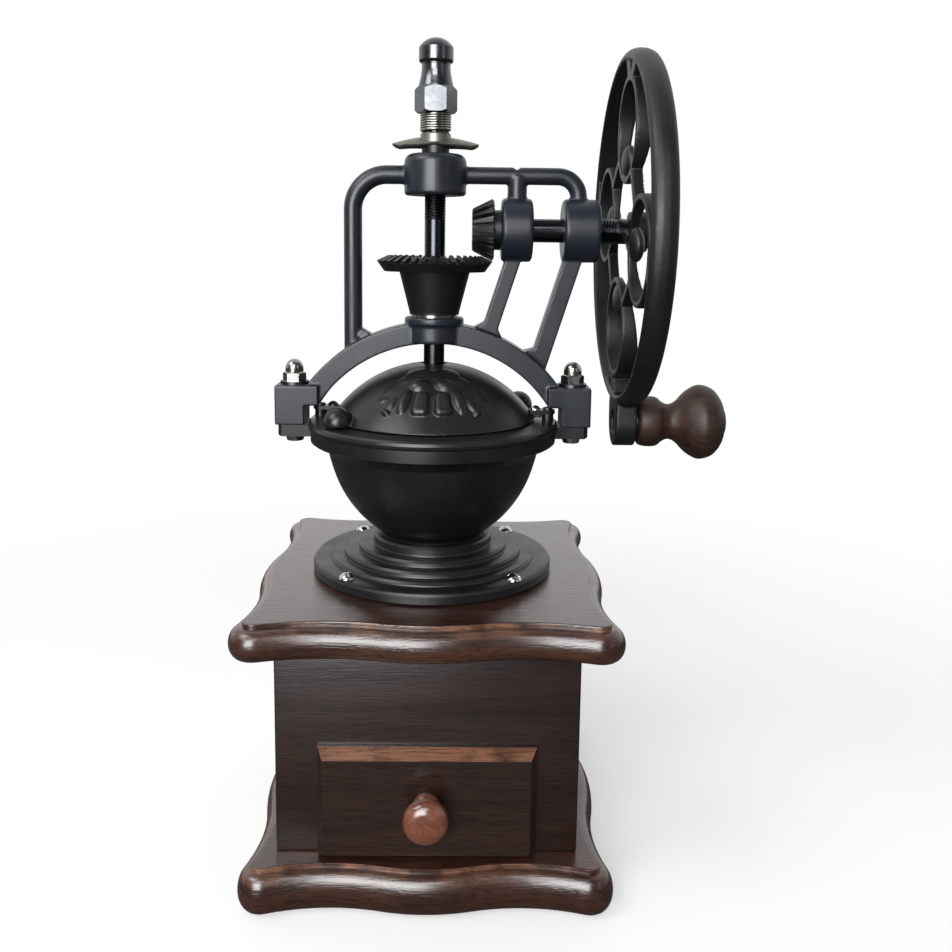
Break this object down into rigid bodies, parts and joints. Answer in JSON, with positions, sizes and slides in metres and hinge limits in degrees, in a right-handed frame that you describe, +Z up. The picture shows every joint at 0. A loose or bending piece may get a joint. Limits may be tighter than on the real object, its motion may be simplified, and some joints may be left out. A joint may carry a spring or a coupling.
{
  "type": "wheel coffee grinder",
  "caption": "Hand coffee mill: cast iron bowl, hinged domed lid and frame with bevel gears and a spoked hand wheel, on a wooden box with a drawer.",
  "frame": {"origin": "centre of the underside of the base board, where the mill stands", "axes": "+Z up, along the grinding shaft; the drawer opens towards -Y; the hand wheel is on the +X side"},
  "size_m": [0.1997, 0.1582, 0.3405],
  "materials": {
    "board_wood": "dark walnut stain, glossy varnish",
    "box_wood": "dark walnut stain, satin varnish",
    "drawer_wood": "dark walnut stain, satin varnish",
    "tray_wood": "plain pale wood",
    "knob_wood": "red-brown stain, glossy varnish",
    "handle_wood": "brown stain, satin varnish",
    "black_iron": "black stove enamel on cast iron, satin",
    "gear_iron": "blackened, satin",
    "dark_steel": "blackened steel",
    "bright_steel": "plain steel",
    "burr_iron": "machined grey iron",
    "nickel": "dull nickel plate",
    "gunmetal": "gunmetal grey, satin",
    "chrome_screws": "bright"
  },
  "bodies": {
    "body": {"base_board": "board_wood", "box_front": "box_wood", "box_back": "box_wood", "box_left": "box_wood", "box_right": "box_wood", "top_board": "board_wood", "drawer_rails": "tray_wood", "base_screws": "bright_steel", "pedestal": "black_iron", "pedestal_screws": "chrome_screws", "bowl": "black_iron", "bowl_screws": "bright_steel", "outer_burr": "burr_iron", "lid_hinge_pins": "dark_steel", "frame": "black_iron", "frame_bolts": "dark_steel", "frame_washers": "dark_steel", "frame_nuts": "dark_steel", "thrust_washer": "bright_steel"},
    "drawer": {"drawer_front": "drawer_wood", "drawer_sides": "tray_wood", "drawer_back": "tray_wood", "drawer_floor": "tray_wood", "drawer_knob": "knob_wood", "drawer_knob_screw": "bright_steel"},
    "lid_front": {"lid_front_half": "black_iron", "lid_front_strap": "black_iron", "lid_front_screw": "chrome_screws"},
    "lid_rear": {"lid_rear_half": "black_iron", "lid_rear_strap": "black_iron", "lid_rear_screw": "chrome_screws"},
    "grinding_shaft": {"spindle": "dark_steel", "crown_gear": "gear_iron", "gear_pin": "dark_steel", "inner_burr": "burr_iron", "burr_nut": "dark_steel", "thrust_collar": "black_iron", "adjuster_spring": "nickel"},
    "wing_nut": {"wing_nut": "nickel"},
    "cap_nut": {"cap_nut": "gunmetal"},
    "hand_wheel": {"axle": "dark_steel", "pinion": "gear_iron", "pinion_pin": "dark_steel", "wheel": "black_iron", "wheel_nut": "dark_steel", "handle_bolt": "dark_steel", "handle_washer": "bright_steel"},
    "handle": {"handle_knob": "handle_wood"}
  },
  "joints": [
    {"name": "wheel_turn", "type": "hinge", "parent": "body", "child": "hand_wheel", "pos_m": [0, 0, 0.2625], "axis": [1, 0, 0], "continuous": true},
    {"name": "shaft_turn", "type": "hinge", "parent": "body", "child": "grinding_shaft", "pos_m": [0, 0, 0.2], "axis": [0, 0, 1], "continuous": true},
    {"name": "wing_nut_turn", "type": "hinge", "parent": "grinding_shaft", "child": "wing_nut", "pos_m": [0, 0, 0.2999], "axis": [0, 0, 1], "range_deg": [-180, 180]},
    {"name": "cap_nut_turn", "type": "hinge", "parent": "grinding_shaft", "child": "cap_nut", "pos_m": [0, 0, 0.32], "axis": [0, 0, 1], "range_deg": [-180, 180]},
    {"name": "handle_spin", "type": "hinge", "parent": "hand_wheel", "child": "handle", "pos_m": [0.1, -0.00423, 0.18181], "axis": [1, 0, 0], "continuous": true},
    {"name": "drawer_slide", "type": "slide", "parent": "body", "child": "drawer", "axis": [0, -1, 0], "range_m": [0, 0.08]},
    {"name": "lid_front_swing", "type": "hinge", "parent": "body", "child": "lid_front", "pos_m": [0.0493, -0.0033, 0.184], "axis": [0, 0, 1], "range_deg": [0, 60]},
    {"name": "lid_rear_swing", "type": "hinge", "parent": "body", "child": "lid_rear", "pos_m": [-0.0493, 0.0033, 0.184], "axis": [0, 0, 1], "range_deg": [0, 60]}
  ],
  "couplings": [
    {"joint": "shaft_turn", "follows": "wheel_turn", "ratio": 0.5}
  ]
}
